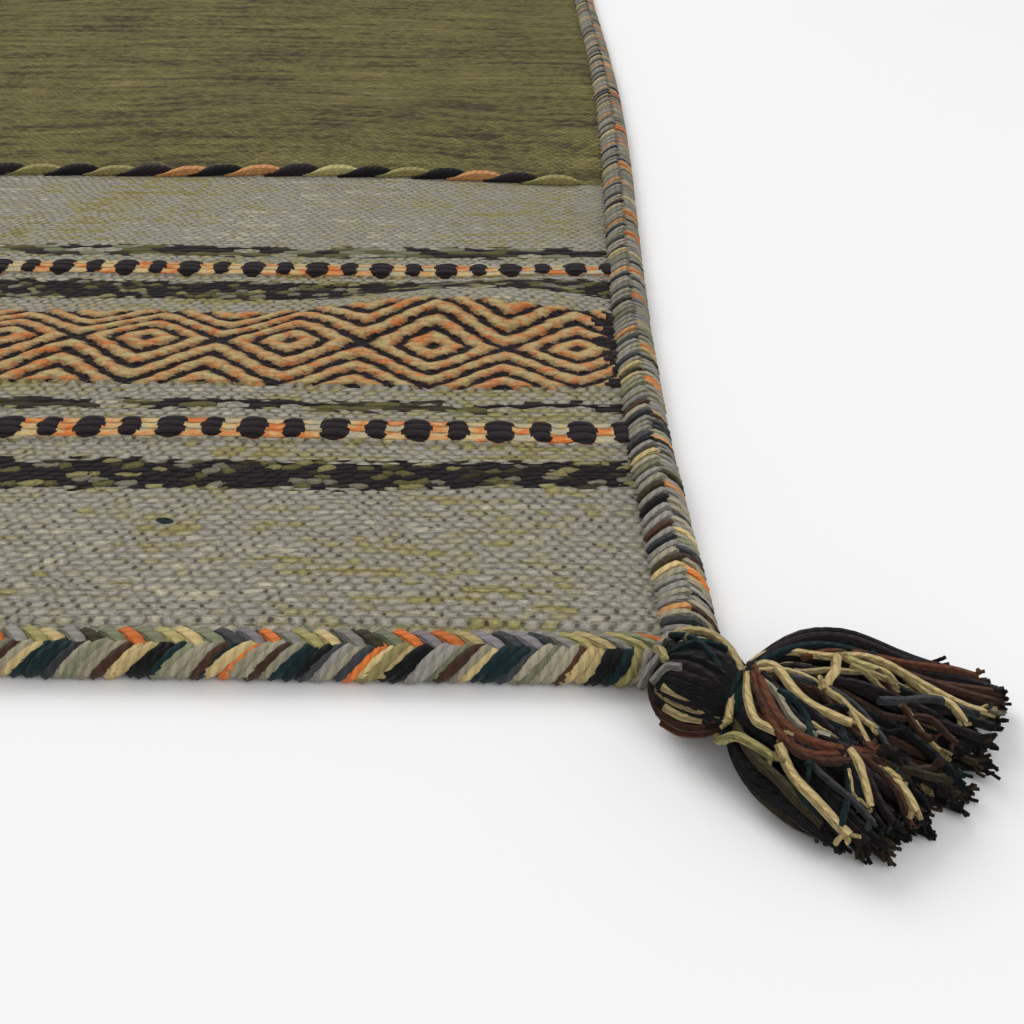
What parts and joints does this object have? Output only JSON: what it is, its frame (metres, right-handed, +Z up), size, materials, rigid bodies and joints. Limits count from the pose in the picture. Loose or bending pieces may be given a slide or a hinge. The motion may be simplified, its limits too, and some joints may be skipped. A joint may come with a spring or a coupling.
{
  "type": "kilim rug",
  "caption": "Rectangular flat-woven wool floor rug with woven stripe, dash and diamond bands, a braided edge all round and a tied yarn tassel at each corner.",
  "frame": {"origin": "on the floor under the middle of the rug", "axes": "+Z up, +Y along the rug's length away from the front end, +X to the right; the front right corner is at +X, -Y"},
  "size_m": [1.3486, 1.8144, 0.024],
  "materials": {
    "cloth_wool": "matte, coarse weft-faced weave",
    "braid_wool": "matte, plaited many-coloured yarn",
    "tassel_wool": "matte, loose yarn strands",
    "tie_thread": "matte, wound thread"
  },
  "bodies": {
    "root": {"rug_cloth": "cloth_wool", "braid_front": "braid_wool", "braid_right": "braid_wool", "braid_back": "braid_wool", "braid_left": "braid_wool", "tassel_front_right": "tassel_wool", "tassel_front_left": "tassel_wool", "tassel_back_left": "tassel_wool", "tassel_back_right": "tassel_wool", "tie_front_right": "tie_thread", "tie_front_left": "tie_thread", "tie_back_left": "tie_thread", "tie_back_right": "tie_thread"}
  },
  "joints": []
}
